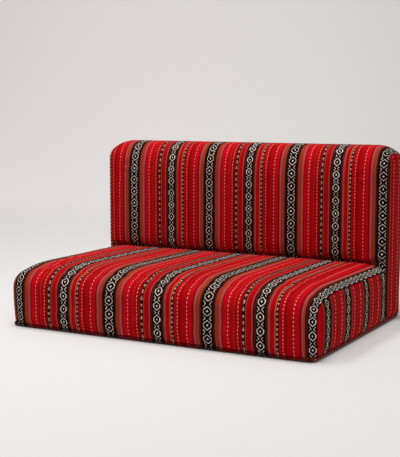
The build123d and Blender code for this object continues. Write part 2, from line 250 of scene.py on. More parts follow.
# Wadding: a white sheet of polyester fibre wrapped over the foam of the seat and of the backrest,
# which keeps the covers smooth.
wadding = speckled("wadding", shade(240, 240, 236), shade(214, 214, 210), size=0.004, depth=0.002,
                   detail=8.0)
paint("seat_wadding", wadding)
paint("back_wadding", wadding)


# The striped cloth of all covers, woven in red, black and white, with dotted lines, chains and
# lozenge bands along the warp. The side gussets are cut from a closer part of it. The welt at the
# foot has both, darkened with painted shade.
HALF = 180.0  # a half repeat of the stripes, in the units that the tables have across
PICK, END, RIB = 1.7, 1.3, 3.1  # spacing of the weft, of the warp and of the ribs
CREAM, PINK, FAINT = shade(220, 158, 128), shade(180, 100, 100), shade(190, 66, 52)
RED, DEEP, BRIGHT = shade(170, 8, 20), shade(138, 7, 15), shade(186, 10, 28)
BLACK, BROWN, OLIVE = shade(22, 12, 9), shade(72, 34, 22), shade(132, 78, 40)
ORANGE, ROSE, WINE = shade(162, 58, 42), shade(164, 68, 66), shade(84, 10, 16)
AMBER = shade(190, 84, 52)

# What is woven, in 180ths of a half repeat across and in millimetres along. Stripes: where each
# starts, and its colour. Bands of lozenges: centre, half width, period, half height, half the gap
# between the crosses, and how far these slant. Chains: centre, half width and the two beats of their
# beads. Dots: centre, half width, period and colour.
MAIN_STRIPES = (
    (0, BLACK), (22.5, BROWN), (28, ORANGE), (42, ROSE), (49, DEEP), (53, BRIGHT), (78, RED),
    (108, DEEP), (119, BLACK), (128.5, OLIVE), (132, RED), (150, ROSE), (154, WINE), (160, BROWN),
    (164, BLACK), (198, BROWN), (205, ROSE), (211, RED), (226, AMBER), (230, BLACK), (239.5, RED),
    (261, DEEP), (266, RED), (291, BRIGHT), (305, DEEP), (312, ROSE), (318, ORANGE), (331, BROWN),
    (337.5, BLACK))
MAIN_BANDS = ((0, 14.4, 47.0, 17.0, 7.6, 0.7), (180, 12.0, 47.0, 16.4, 4.2, 0.85))
MAIN_CHAINS = ((123.5, 2.1, 9.5, 22.0), (235, 1.9, 6.5, 16.0))
MAIN_DOTS = (
    (71, 1.4, 13.5, CREAM), (105, 1.2, 12.5, CREAM), (91, 1.2, 11.0, FAINT), (254, 1.1, 12.0, CREAM),
    (287.5, 1.4, 13.5, CREAM), (45, 1.5, 7.5, PINK), (315, 1.5, 8.0, PINK), (35, 1.3, 6.5, BROWN),
    (325, 1.3, 6.5, BROWN))

SIDE_STRIPES = (
    (0, BLACK), (18, BROWN), (26, WINE), (32, ORANGE), (40, RED), (54, BRIGHT), (76, DEEP),
    (82, RED), (118, BRIGHT), (136, RED), (144, OLIVE), (148, DEEP), (154, BROWN), (162, BLACK),
    (198, BROWN), (206, WINE), (212, ORANGE), (220, RED), (234, BRIGHT), (256, DEEP),
    (262, RED), (298, BRIGHT), (316, RED), (324, OLIVE), (328, DEEP), (334, BROWN), (342, BLACK))
SIDE_BANDS = ((0, 12.0, 29.0, 12.5, 1.0, 0.85), (180, 12.0, 31.0, 13.0, 1.0, 0.85))
SIDE_DOTS = ((63, 2.2, 13.5, CREAM), (121, 2.5, 14.0, CREAM), (239, 2.2, 13.5, CREAM),
             (299, 2.5, 14.5, CREAM), (92, 1.4, 12.0, FAINT), (272, 1.4, 11.0, FAINT))


def striped_cloth(name, stripes, bands, chains, dots, light=1.0):
    """Warp stripes from a table, with lozenge bands, chains and dotted lines woven over them. They
    follow the UV map named cloth, which runs across the stripes in half repeats, from the middle of a
    broad black band at 0 to that of a narrow one at 1, and along the warp in metres."""
    graph, connect = new_material(name, Specular_IOR_Level=0.045)
    uv = graph.node("ShaderNodeUVMap", uv_map="cloth")
    across = graph.node("ShaderNodeSeparateXYZ", {0: uv})
    along = Wire(graph, across.socket.node.outputs[1]) * 1000.0
    place = across.within(2.0) * HALF
    wander = graph.noise(graph.vector(place, along * 0.12, across * 0.7), 0.9, 1.0) - 0.5
    place = place + 1.1 * wander
    colour = graph.bands(place / (2 * HALF), [(p / (2 * HALF), c) for p, c in stripes])

    ribs = 0.32 * ((along / RIB).within(1.0) < 0.42)
    colour = graph.mix(ribs, colour, shade(62, 8, 8))

    pick = (along / PICK).math("FLOOR") * PICK
    end = (place / END).math("FLOOR") * END + END / 2
    marks = None
    for centre, half_width, period, half_height, waist, splay in bands:
        x = abs((end - (centre - HALF)).within(2 * HALF) - HALF)
        rise = abs(pick.within(period) - period / 2)
        lozenge = (x / half_width).larger(x / (1.5 * half_width) + rise / half_height)
        ring = (lozenge < 1.0) * (lozenge > 1 - 1.9 / half_width)
        dot = (x / half_width + rise / half_height) < 0.24
        gap = abs(rise - period / 2)
        cross = (abs(x - gap * splay - waist) < 0.9) * (gap < half_width * 0.6)
        found = ring.larger(dot).larger(cross)
        marks = found if marks is None else marks.larger(found)
    grain = graph.noise(graph.vector(place * 0.5, along * 0.25), 1.4, 3.0)
    white_yarn = graph.mix(grain, shade(196, 184, 172), shade(250, 242, 230))
    rosy_yarn = graph.mix(grain, shade(140, 96, 92), shade(222, 186, 176))
    colour = graph.mix(marks, colour, white_yarn)
    for centre, half_width, short, long in chains:
        x = abs(place - centre)
        slow, quick = [(along * (math.tau / beat)).math("SINE") for beat in (long, short)]
        bead = (x / half_width) < slow + 0.45 * quick + 0.5
        colour = graph.mix(bead * 0.78, colour, rosy_yarn)
        marks = marks.larger(bead)
    for centre, half_width, period, dot_colour in dots:
        dash = (along + centre * 0.7).within(period) < grain * (period * 0.95)
        seen = (abs(place - centre) < half_width) * dash
        colour = graph.mix(seen * 0.75, colour, dot_colour)

    streak = graph.noise(graph.vector(place * 0.9, along * 0.02), 1.0, 3.0)
    cloud = graph.noise(graph.vector(across, along * 0.006), 2.2, 3.0)
    cord = graph.noise(graph.vector(place * 0.3, along * 0.004), 1.0, 1.0)
    # A light under 1 darkens the whole cloth as painted shade, for the welt's copies.
    tone = (0.44 * streak + 0.3 * cloud + 0.7 * cord + 0.28) * light
    tint = graph.node("ShaderNodeCombineColor", {0: tone, 1: tone, 2: tone})
    colour = graph.mix(1.0, colour, tint, "MULTIPLY")

    weft = abs((along * (math.pi / PICK)).math("SINE"))
    warp = abs((place * (math.pi / END)).math("SINE"))
    height = 0.6 * weft + 0.4 * warp + 0.7 * marks + streak
    return connect(Base_Color=colour, Roughness=0.8 + 0.14 * streak,
                   Normal=graph.bump(height, 0.55, 0.0006))


MAIN = MAIN_STRIPES, MAIN_BANDS, MAIN_CHAINS, MAIN_DOTS
SIDE = SIDE_STRIPES, SIDE_BANDS, (), SIDE_DOTS
main_cloth = striped_cloth("striped_cloth", *MAIN)
side_cloth = striped_cloth("side_cloth", *SIDE)
# Darker copies of both cloths for the welt at the foot: painted shade.
foot_cloth_painted_shade = striped_cloth("foot_cloth_painted_shade", *MAIN, light=0.38)
welt_cloth = striped_cloth("welt_cloth", *SIDE, light=0.42)


# Seat cover: one panel of the cloth, sewn to the side gussets and to the welt. It goes up the front,
# over the top and down behind. Its stripes run from the back to the front, a little closer together
# at the back. Sizes are in metres, the same as the frame's covers have.
FRONT, SEAM = -0.42, 0.248  # the seat's front, and where its block meets the backrest's
HALF_SEAM = 0.593  # the side seams
LOW = 0.0153  # height of the seam along the welt
SEAT_TOP = 0.223  # height of the seat's middle
EDGE = 0.07  # width over which a cover falls towards its side seam
SUNK = 0.0013  # depth of the dip along a seam


def tangent_arc(start, end, angle, count, ease=1.0):
    """Points of the arc that leaves start at an angle in degrees and ends at end. They come
    closer together towards the end where ease is over 1."""
    chord = np.subtract(end, start)
    length = np.hypot(*chord)
    turn = math.atan2(chord[1], chord[0]) - math.radians(angle)
    turn = (turn + math.pi) % math.tau - math.pi
    share = 1 - np.linspace(1, 0, count) ** ease
    if abs(turn) < 1e-6:
        return start + share[:, None] * chord
    reach = length * np.sin(turn * share) / math.sin(turn)
    heading = math.radians(angle) + turn * share
    return np.array(start) + reach[:, None] * np.stack([np.cos(heading), np.sin(heading)], axis=1)


def chain_of(parts):
    """One run of points from parts that meet end to end."""
    return np.concatenate([parts[0]] + [part[1:] for part in parts[1:]])


def seat_outline(edge, inset=0.0):
    """The seat pad from the foot of its front, over the top, to the foot of its rear."""
    front, rear = FRONT + 0.026 * edge + inset, SEAM - 0.0003 - inset
    top = SEAT_TOP - 0.022 * edge - inset
    roll = 0.066 - 0.018 * edge - inset
    turn = math.radians(75)
    run = 0.137
    run_rise = run * math.tan((math.pi / 2 - turn) / 2)
    roll_low = top - run_rise - roll * math.sin(turn)
    toe, brow = (front + 0.009, LOW), (front, roll_low)
    shoulder = (front + roll * (1 - math.cos(turn)), roll_low + roll * math.sin(turn))
    crest, heel, foot = (shoulder[0] + run, top), (rear, top - 0.003), (rear, LOW)
    return chain_of([
        tangent_arc(brow, toe, -90, 24, 1.8)[::-1],
        tangent_arc(brow, shoulder, 90, 19),
        tangent_arc(shoulder, crest, 15, 22),
        tangent_arc(crest, heel, 0, 62),
        np.linspace(heel, foot, 12)])


def edge_of(x):
    """0 across the middle of a cover, rising to 1 at its side seams."""
    return np.clip(1 - (HALF_SEAM - np.abs(x)) / EDGE, 0, 1) ** 2.2


def stations(extra=()):
    """Places across the width, closer together beside the seams."""
    near = HALF_SEAM - np.array([0, 0.0015, 0.0035, 0.0065, 0.0105, 0.016, 0.0225, 0.0325, 0.0385])
    middle = np.linspace(-0.548, 0.548, 141)
    return np.unique(np.round(np.concatenate([-near, near, middle, np.array(extra)]), 5))


def sink_of(distance):
    """How far the cloth dips towards a seam that is this far away."""
    return SUNK * np.exp(-(distance / 0.0035) ** 2)


def sewn_at(distance):
    """1 on a side seam, falling to 0 beside it."""
    return np.clip(1 - distance / 0.002, 0, 1)


def tuck_of(height):
    """How far the cloth is tucked in where it is sewn to the welt, at a height over that seam."""
    return 0.0014 * np.exp(-((height - LOW) / 0.0035) ** 2)


def mesh_object(name, points, faces, linked=True):
    made = bpy.data.objects.new(name, bpy.data.meshes.new(name))
    made.data.from_pydata([tuple(p) for p in points], [], faces)
    if linked:
        bpy.context.collection.objects.link(made)
    return made


def shade_smooth(mesh):
    mesh.polygons.foreach_set("use_smooth", [True] * len(mesh.polygons))


def grid_object(name, points, rows, columns, skip=()):
    """A mesh of quads from rows by columns points, without the cells named in skip."""
    faces = []
    for row in range(rows - 1):
        for column in range(columns - 1):
            if (row, column) not in skip:
                a = row * columns + column
                faces.append((a, a + columns, a + columns + 1, a + 1))
    return mesh_object(name, points, faces)


def outward(made, inside):
    """Turns the faces away from a point inside the form."""
    mesh = made.data
    total = sum((face.center - Vector(inside)).dot(face.normal) * face.area for face in mesh.polygons)
    if total < 0:
        mesh.flip_normals()
    shade_smooth(mesh)


def cloth_map(made, across, along):
    """The cloth's own UV map, from one pair of values for each vertex."""
    layer = made.data.uv_layers.new(name="cloth")
    vertex = np.empty(len(made.data.loops), dtype=np.int32)
    made.data.loops.foreach_get("vertex_index", vertex)
    layer.data.foreach_set("uv", np.stack([across[vertex], along[vertex]], axis=1).ravel())


def vertex_values(made, key):
    """A row of three values for each vertex: its place, co, or its normal."""
    values = np.empty(len(made.data.vertices) * 3)
    made.data.vertices.foreach_get(key, values)
    return values.reshape(-1, 3)


def move_vertices(made, places):
    made.data.vertices.foreach_set("co", places.ravel())
    made.data.update()


def inflate(made, held, spare, cap):
    """Cloth under a cushion's pressure: held is 1 where it is sewn or rests on something, spare
    is how much larger than its place it was cut, and no point moves further than cap. What it
    rests on keeps it from moving inwards, and from slipping far sideways."""
    group = made.vertex_groups.new(name="sewn")
    for index in np.nonzero(held > 0.01)[0]:
        group.add([int(index)], float(held[index]), "REPLACE")
    start = vertex_values(made, "co")
    cloth = made.modifiers.new("cloth", "CLOTH")
    settings = cloth.settings
    settings.quality = 5
    settings.mass = 0.2
    settings.tension_stiffness = settings.compression_stiffness = 25
    settings.shear_stiffness = 10
    settings.bending_stiffness = 0.8
    settings.use_pressure = True
    settings.uniform_pressure_force = 4
    settings.effector_weights.gravity = 0
    settings.shrink_min = -spare
    settings.vertex_group_mass = "sewn"
    cloth.collision_settings.use_collision = False
    frames_to_settle = 20
    for number in range(1, frames_to_settle + 1):
        bpy.context.scene.frame_set(number)
    moved = vertex_values(made.evaluated_get(bpy.context.evaluated_depsgraph_get()), "co")
    made.modifiers.remove(cloth)
    made.vertex_groups.remove(group)
    bpy.context.scene.frame_set(1)
    shift = np.nan_to_num(moved - start)
    normals = vertex_values(made, "normal")
    rise = (shift * normals).sum(axis=1)[:, None]
    shift = np.maximum(rise, 0) * normals + 0.3 * (shift - rise * normals)
    length = np.linalg.norm(shift, axis=1)
    short = 1e-9
    shift *= np.where(length > short, cap * np.tanh(length / cap) / np.maximum(length, short), 0)[:, None]
    move_vertices(made, start + shift)


def pucker(made, distance, along, seed):
    """Small gathers that fade away from a seam."""
    ripples = ((1, 0.0021, 1), (0.7, 0.0047, 2), (0.8, 0.0093, 3))
    wave = sum(size * np.sin(along / length + start * seed) for size, length, start in ripples)
    depth = 0.00035 * wave * np.exp(-distance / 0.009) * np.clip(distance / 0.003, 0, 1)
    move_vertices(made, vertex_values(made, "co") + vertex_values(made, "normal") * depth[:, None])


def cover_thickness(made):
    """The cloth's thickness, inwards from its face."""
    solid = made.modifiers.new("cloth thickness", "SOLIDIFY")
    solid.thickness, solid.offset = 0.0012, -1


def panel(name, outline, xs, across_of, held_rows, spare, cap, skip=(), level=0):
    """A cover's middle panel from seam to seam, with its cloth map following the outline. The
    weft is level in the row named, where there is one."""
    rows = len(outline(0.0))
    points = np.empty((rows, len(xs), 3))
    for column, x in enumerate(xs):
        distance = HALF_SEAM - abs(x)
        points[:, column, 0] = x
        points[:, column, 1:] = outline(edge_of(x), sink_of(distance))
    middle = outline(0.0)
    points[..., 1] += np.sign(middle[:, 0].mean() - points[..., 1]) * tuck_of(points[..., 2])
    along = np.concatenate([[0], np.cumsum(np.hypot(*np.diff(middle, axis=0).T))])
    made = grid_object(name, points.reshape(-1, 3), rows, len(xs), skip)
    outward(made, (0, float(middle[:, 0].mean()), float(middle[:, 1].mean())))
    run = np.repeat(along, len(xs))
    if level:
        steps = np.linalg.norm(np.diff(points, axis=0), axis=2)
        own = np.concatenate([np.zeros((1, len(xs))), np.cumsum(steps, axis=0)])
        run = (own + along[level] - own[level]).ravel()
    x = np.tile(xs, rows)
    y = np.repeat(middle[:, 0], len(xs))
    cloth_map(made, across_of(x, y), run)
    distance = HALF_SEAM - np.abs(x)
    held = np.maximum(np.repeat(held_rows(along, middle), len(xs)), sewn_at(distance))
    inflate(made, held, spare, cap)
    pucker(made, distance, run, 0.7)
    return made


def seat_across(x, y):
    """Where across the stripes the cloth lies at a place of the seat, in half repeats."""
    share = np.clip((y - FRONT) / (SEAM - FRONT), 0, 1)
    run = x + np.sign(x) * 0.009 * edge_of(x) + 0.009 * np.clip((-0.35 - x) / 0.19, 0, 1)
    drawn = 0.16 * share * np.maximum(run - 0.411, 0) / 0.1516
    return (run - 0.030 + 0.011 * share) / (0.1906 - 0.0066 * share) - 1 - drawn


def narrow_band(made, start):
    """Beyond start the cloth is pieced so that a narrow black band runs along the right seam."""
    at_seam, stretch = 1.085, 1.1
    places = made.data.uv_layers["cloth"].data
    for face in made.data.polygons:
        if face.center.x > start:
            for loop in face.loop_indices:
                y = made.data.vertices[made.data.loops[loop].vertex_index].co.y
                off_seam = places[loop].uv.x - float(seat_across(HALF_SEAM, y))
                places[loop].uv.x = at_seam + off_seam * stretch


def seat_held(along, middle):
    """1 where the seat's cover can't stand out: at its foot, and where it meets the backrest."""
    rear = (middle[:, 0] > SEAM - 0.002) * 1.0
    return np.maximum(rear, np.clip(1 - along / 0.004, 0, 1))


seat_panel = panel("seat_top_panel", seat_outline, stations(), seat_across, seat_held,
                   spare=0.006, cap=0.006)
narrow_band(seat_panel, start=0.5606)
seat_panel.data.materials.append(main_cloth)
cover_thickness(seat_panel)
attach(seat_panel, "root")
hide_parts("seat_cover")


# Side gussets of the seat: a closer part of the same cloth, cut to the outline of the side seam. Its
# stripes stand upright, and it is plain beside the front seam. The sides swell out past the seams.
SWELL = 0.007  # how far the sides swell out past their seams
CELL = 0.0075  # size of a gusset's mesh


def side_panel(name, outline, sign, across_of, spare, cap):
    """A side gusset: the seam's outline filled with even cells, swelling away from the seam."""
    rim = outline(1.0, SUNK)
    rim[:, 0] += np.sign(rim[:, 0].mean() - rim[:, 0]) * tuck_of(rim[:, 1])
    base = np.linspace(rim[-1], rim[0], int(abs(rim[-1][0] - rim[0][0]) / CELL) + 2)[1:-1]
    border = np.concatenate([rim, base])
    low, high = border.min(axis=0), border.max(axis=0)
    ys = np.arange(low[0] + CELL, high[0], CELL)
    zs = np.arange(low[1] + CELL, high[1], CELL * 0.87)
    inner = [(y + (CELL / 2 if k % 2 else 0), z) for k, z in enumerate(zs) for y in ys]
    count = len(border)
    following = np.roll(border, -1, axis=0)

    step = following - border
    squares = np.maximum((step ** 2).sum(axis=1), 1e-12)

    def to_border(p):
        share = np.clip(((p - border) * step).sum(axis=1) / squares, 0, 1)
        return np.hypot(*(border + share[:, None] * step - p).T).min()

    edges = [(k, (k + 1) % count) for k in range(count)]
    heading = following - np.roll(border, 1, axis=0)
    heading /= np.linalg.norm(heading, axis=1)[:, None]
    inwards = np.stack([heading[:, 1], -heading[:, 0]], axis=1)
    rings = [tuple(p) for reach in (0.0022, 0.0052) for p in border[::2] + reach * inwards[::2]
             if to_border(p) > reach * 0.9]
    kept = rings + [p for p in inner if to_border(np.array(p)) > 0.0095]
    flat = [Vector(p) for p in [*map(tuple, border), *kept]]
    verts, _, faces, *_ = geometry.delaunay_2d_cdt(flat, edges, [], 1, 1e-6)
    places = np.array([tuple(v) for v in verts])
    distance = np.array([to_border(p) for p in places])
    swell = SWELL * (1 - np.clip(1 - distance / 0.030, 0, 1) ** 2)
    dip = SUNK * np.exp(-(distance / 0.003) ** 2) + 0.6 * tuck_of(places[:, 1])
    made = mesh_object(name, np.column_stack([sign * (HALF_SEAM + swell - dip), places]), faces)
    outward(made, (0, float(places[:, 0].mean()), float(places[:, 1].mean())))
    cloth_map(made, across_of(places[:, 0]), places[:, 1] + 0.013)
    inflate(made, sewn_at(distance), spare, cap)
    pucker(made, distance, places[:, 0] + places[:, 1], 0.3)
    return made


for side, sign in (("left", -1), ("right", 1)):
    gusset = side_panel("seat_side_panel_" + side, seat_outline, sign,
                        lambda y: np.maximum((y + 0.324) / 0.1775, -0.3), spare=0.004, cap=0.003)
    gusset.data.materials.append(side_cloth)
    cover_thickness(gusset)
    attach(gusset, "root")
    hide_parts("seat_gusset_" + side)


# Backrest cover. One panel goes up the front, over the top and down the outside back to the zip,
# whose slot is left open, and a strip goes on from there to the welt. The front is stuffed out in
# the middle and leans back into the roll.
REAR = 0.42  # the sofa's back
BACK_TOP = 0.650  # height of the backrest's middle
FULLNESS = 0.011  # how far the middle of the backrest is stuffed out to the front


def easing_curve(face, end, turn, power, count):
    """Points from an upright face at a depth, that lean back slowly and then faster, to end. The
    whole turn is in radians. A power of 1 gives a plain arc."""
    fine = np.linspace(0, 1, 400)
    angle = (fine[:-1] + 1 / 798) ** power * turn
    sine = np.concatenate([[0], np.cumsum(np.sin(angle))])
    cosine = np.concatenate([[0], np.cumsum(np.cos(angle))])
    scale = (end[0] - face) / sine[-1]
    share = np.linspace(0, 1, count)
    depth = face + scale * np.interp(share, fine, sine)
    height = end[1] - scale * (cosine[-1] - np.interp(share, fine, cosine))
    return np.stack([depth, height], axis=1)


def back_outline(edge, inset=0.0):
    """The backrest from its front foot behind the seat, over the top, down to its rear foot. Its
    stuffed front stands forward in the middle and leans back into the roll."""
    base = SEAM + 0.0003 + inset
    front, rear = SEAM - 0.012 + 0.010 * edge + inset, REAR - 0.003 * edge - inset
    top = BACK_TOP - 0.028 * edge - inset
    roll, rear_roll = 0.062 - 0.018 * edge - inset, 0.045 - 0.009 * edge - inset
    turn = math.radians(78)
    run = rear - front - (roll + rear_roll) * (1 - math.cos(turn))
    roll_end = top - run / 2 * math.tan((math.pi / 2 - turn) / 2)
    face = front - FULLNESS * (1 - edge)
    lip, chest = (base, 0.231), (face, 0.252 - 0.004 * edge)
    front_end = (front + roll * (1 - math.cos(turn)), roll_end)
    rear_end = (rear - rear_roll * (1 - math.cos(turn)), roll_end)
    nape, spine = (rear, roll_end - rear_roll * math.sin(turn)), (rear, 0.240)
    tail = (rear - 0.006 + 0.003 * edge, 0.100)
    slot_top, slot_low = (tail[0], 0.0682), (tail[0], 0.0558)
    lean = easing_curve(face, front_end, turn, 2 - edge, 32)
    return chain_of([
        np.linspace((base, LOW), lip, 13),
        tangent_arc(chest, lip, -90, 14)[::-1],
        np.linspace(chest, lean[0], 26),
        lean,
        tangent_arc(front_end, rear_end, 12, 10),
        tangent_arc(nape, rear_end, 90, 14)[::-1],
        np.linspace(nape, spine, 46),
        tangent_arc(spine, tail, -90, 20),
        np.linspace(tail, slot_top, 6),
        np.linspace(slot_top, slot_low, 3),
        tangent_arc(slot_low, (tail[0], LOW), -90, 12, 1.8)])


def back_across(x, y):
    """The same for the backrest, whose stripes run straight up."""
    return (x - 0.048 - 0.006 * (1 - edge_of(x)) - 0.020 * np.clip((0.1 - x) / 0.5, 0, 1)) / 0.1774 - 1


def back_held(along, middle):
    """1 where the backrest's cover can't stand out: behind the seat, and round the zip."""
    hidden = (middle[:, 1] < 0.236) * (middle[:, 0] < 0.3)
    low_rear = np.clip((0.125 - middle[:, 1]) / 0.03, 0, 1) * (middle[:, 0] > 0.3)
    return np.maximum(hidden * 1.0, low_rear)


back_stations = stations((-0.543, 0.543))
rear_z = back_outline(0.0)[:, 1]
first_rear_row = 150
slot_rows = [k for k in range(first_rear_row + 1, len(rear_z) - 1)
             if rear_z[k] < 0.0683 and rear_z[k + 1] > 0.0557]
slot_columns = [k for k in range(len(back_stations) - 1)
                if -0.5431 < back_stations[k] and back_stations[k + 1] < 0.5431]
slot_cells = {(row, column) for row in slot_rows for column in slot_columns}
roll_share = np.repeat(np.clip((rear_z - 0.53) / 0.05, 0, 1), len(back_stations))
chest_row = 26
back_panel = panel("back_panel", back_outline, back_stations, back_across, back_held, spare=0.006,
                   cap=0.0045 - 0.0035 * roll_share, skip=slot_cells, level=chest_row)
back_panel.data.materials.append(main_cloth)
cover_thickness(back_panel)
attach(back_panel, "root")
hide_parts("back_cover", "back_cover_lower")


# Side gussets of the backrest, cut from the same closer part of the cloth as those of the seat, with
# their stripes upright, and sewn to the backrest cover all round.
for side, sign in (("left", -1), ("right", 1)):
    gusset = side_panel("back_side_panel_" + side, back_outline, sign,
                        lambda y: (y - SEAM) / 0.1774 + 0.08, spare=0.004, cap=0.003)
    gusset.data.materials.append(side_cloth)
    cover_thickness(gusset)
    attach(gusset, "root")
    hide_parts("back_gusset_" + side)


# Welt round the foot: a soft round-edged cord covered in the same cloth, sewn along the lower edge
# of both covers. Its cloth is darkened with painted shade, as little light reaches it.
def turn_outwards(mesh):
    """Turns the faces of a closed mesh outwards."""
    work = bmesh.new()
    work.from_mesh(mesh)
    bmesh.ops.recalc_face_normals(work, faces=work.faces)
    work.to_mesh(mesh)
    work.free()


def torus_faces(count, rim):
    """Quads of a closed ring of count sections, each with rim points."""
    faces = []
    for k in range(count):
        for j in range(rim):
            n, m = (k + 1) % count, (j + 1) % rim
            faces.append((k * rim + j, n * rim + j, n * rim + m, k * rim + m))
    return faces


def welt_ring():
    """A closed ring of rounded sections. The cloth on it goes on from that of the covers."""
    front, rear, near, far = FRONT + 0.009, REAR - 0.006, 0.030, 0.008
    path = []
    corners = ((1, rear - far, 0, far), (-1, rear - far, 90, far), (-1, front + near, 180, near),
               (1, front + near, 270, near))
    for sign, y, start, corner in corners:
        centre = Vector((sign * (HALF_SEAM - corner), y))
        for step in range(7):
            angle = math.radians(start + step * 15)
            way = Vector((math.cos(angle), math.sin(angle)))
            path.append((centre + way * corner, way))
    fine = []
    for (a, way_a), (b, way_b) in zip(path, path[1:] + path[:1]):
        count = max(1, round((b - a).length / 0.012))
        fine += [(a.lerp(b, k / count), way_a.lerp(way_b, k / count).normalized()) for k in range(count)]
    sides, step_round = 14, 0.0024
    half_width, half_height, middle, inset = 0.0045, 0.0049, 0.0090, 0.0055
    red_stripe, half_repeat = 0.672, 0.18
    ring = []
    for side in range(sides):
        c, s = math.cos(math.tau * side / sides), math.sin(math.tau * side / sides)
        ring.append((math.copysign(abs(c) ** 0.7, c) * half_width,
                     math.copysign(abs(s) ** 0.7, s) * half_height))
    points, across, along = [], [], []
    for at, way in fine:
        for j, (out, up) in enumerate(ring):
            spot = at + way * (out - inset)
            points.append((spot.x, spot.y, middle + up))
            if abs(way.y) > abs(way.x):
                across.append(float((back_across if at.y > 0 else seat_across)(at.x, at.y)))
                along.append(j * step_round)
            else:
                across.append(red_stripe + (j if j < 8 else j - sides) * step_round / half_repeat)
                along.append(at.y * 0.6)
    made = mesh_object("foot_welt", points, torus_faces(len(fine), sides))
    turn_outwards(made.data)
    for face in made.data.polygons:
        face.use_smooth = True
        face.material_index = int(abs(face.center.x) > HALF_SEAM - near)
    cloth_map(made, np.array(across), np.array(along))
    return made


welt = welt_ring()
# Both welt materials carry painted shade.
welt.data.materials.append(foot_cloth_painted_shade)
welt.data.materials.append(welt_cloth)
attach(welt, "root")
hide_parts("base_welt")


# Zip low in the outside back, by which the cover comes off: woven tapes, coil teeth that mesh along
# the middle, a row of stitches above and below its slot, and a brass slider, pull tab and stops.
def row_tree():
    """Nodes for a row of small pieces: one shape set out along a line, each a little off true."""
    tree = bpy.data.node_groups.new("row of pieces", "GeometryNodeTree")
    face = tree.interface
    kinds = (("Shape", "Object"), ("Start", "Vector"), ("Step", "Vector"), ("Count", "Int"),
             ("Wobble", "Float"), ("Seed", "Int"), ("Material", "Material"))
    for name, kind in kinds:
        face.new_socket(name, in_out="INPUT", socket_type="NodeSocket" + kind)
    face.new_socket("Geometry", in_out="OUTPUT", socket_type="NodeSocketGeometry")
    graph = Graph(tree)
    given = graph.node("NodeGroupInput").socket.node
    ask = {name: Wire(graph, given.outputs[name]) for name, _ in kinds}
    line = graph.node("GeometryNodeMeshLine", {"Count": ask["Count"], "Start Location": ask["Start"],
                                               "Offset": ask["Step"]}, mode="OFFSET")
    between = {"Min": (-1, -1, -1), "Max": (1, 1, 1), "Seed": ask["Seed"]}
    tilt = graph.node("FunctionNodeRandomValue", between, data_type="FLOAT_VECTOR")
    tilt = graph.node("ShaderNodeVectorMath", {0: tilt, 3: ask["Wobble"]}, operation="SCALE")
    shape = graph.node("GeometryNodeObjectInfo", {"Object": ask["Shape"]}, out=4)
    placed = graph.node("GeometryNodeInstanceOnPoints", {"Points": line, "Instance": shape, "Rotation": tilt})
    real = graph.node("GeometryNodeRealizeInstances", {"Geometry": placed})
    painted = graph.node("GeometryNodeSetMaterial", {"Geometry": real, "Material": ask["Material"]})
    graph.node("NodeGroupOutput", {"Geometry": painted})
    return tree


def rounded_bar(length, width, height, along=0):
    """A small bar with rounded ends and a flat-sided section, lying along x or y."""
    work = bmesh.new()
    bmesh.ops.create_icosphere(work, subdivisions=1, radius=1.0)
    for vert in work.verts:
        x, y, z = vert.co
        long = math.copysign(length / 2 - height / 2, x) * (abs(x) > 0.2) + x * height / 2
        spot = (long, y * width / 2) if along == 0 else (y * width / 2, long)
        vert.co = (*spot, z * height / 2)
    bmesh.ops.recalc_face_normals(work, faces=work.faces)
    mesh = bpy.data.meshes.new("bar")
    work.to_mesh(mesh)
    work.free()
    return bpy.data.objects.new("bar", mesh)


def coil_tooth():
    """One turn of a zip's coil, a flattened loop in the plane across the zip."""
    around, rim = 8, 4
    depth, height, thick, wide = 0.00052, 0.00185, 0.00030, 0.00036
    points = []
    for k in range(around):
        angle = math.tau * k / around
        out = Vector((0, math.cos(angle), math.sin(angle)))
        middle = Vector((0, depth * out.y, height * out.z))
        for j in range(rim):
            twist = math.tau * (j + 0.5) / rim
            points.append(middle + out * thick * math.cos(twist) + Vector((wide * math.sin(twist), 0, 0)))
    made = mesh_object("tooth", points, torus_faces(around, rim), linked=False)
    turn_outwards(made.data)
    return made


rows_of_pieces = row_tree()


def row(name, shape, start, step, count, wobble, seed, material):
    """One object that holds a whole row of pieces as plain mesh."""
    holder = bpy.data.objects.new(name + " holder", bpy.data.meshes.new(name))
    bpy.context.collection.objects.link(holder)
    nodes = holder.modifiers.new("row", "NODES")
    nodes.node_group = rows_of_pieces
    values = {"Shape": shape, "Start": start, "Step": step, "Count": count, "Wobble": wobble,
              "Seed": seed, "Material": material}
    for item in rows_of_pieces.interface.items_tree:
        if item.in_out == "INPUT":
            nodes[item.identifier] = values[item.name]
    bpy.context.view_layer.update()
    mesh = bpy.data.meshes.new_from_object(holder.evaluated_get(bpy.context.evaluated_depsgraph_get()))
    made = bpy.data.objects.new(name, mesh)
    bpy.context.collection.objects.link(made)
    bpy.data.objects.remove(holder)
    shade_smooth(mesh)
    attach(made, "root")
    return made


def zip_weave(name, light, dark, pitch):
    graph, connect = new_material(name)
    place = graph.node("ShaderNodeSeparateXYZ", {0: graph.stretched(1000, 1000, 1000)})
    rise = Wire(graph, place.socket.node.outputs[2])
    rib = 0.5 + 0.5 * ((place + 0.5 * rise) * (math.tau / pitch)).math("SINE")
    cloud = graph.noise(graph.stretched(), 90.0, 3.0)
    share = 0.6 * rib + 0.4 * cloud
    return connect(Base_Color=graph.mix(share, dark, light), Roughness=0.7 + 0.1 * cloud,
                   Normal=graph.bump(rib, 0.5, 0.0003))


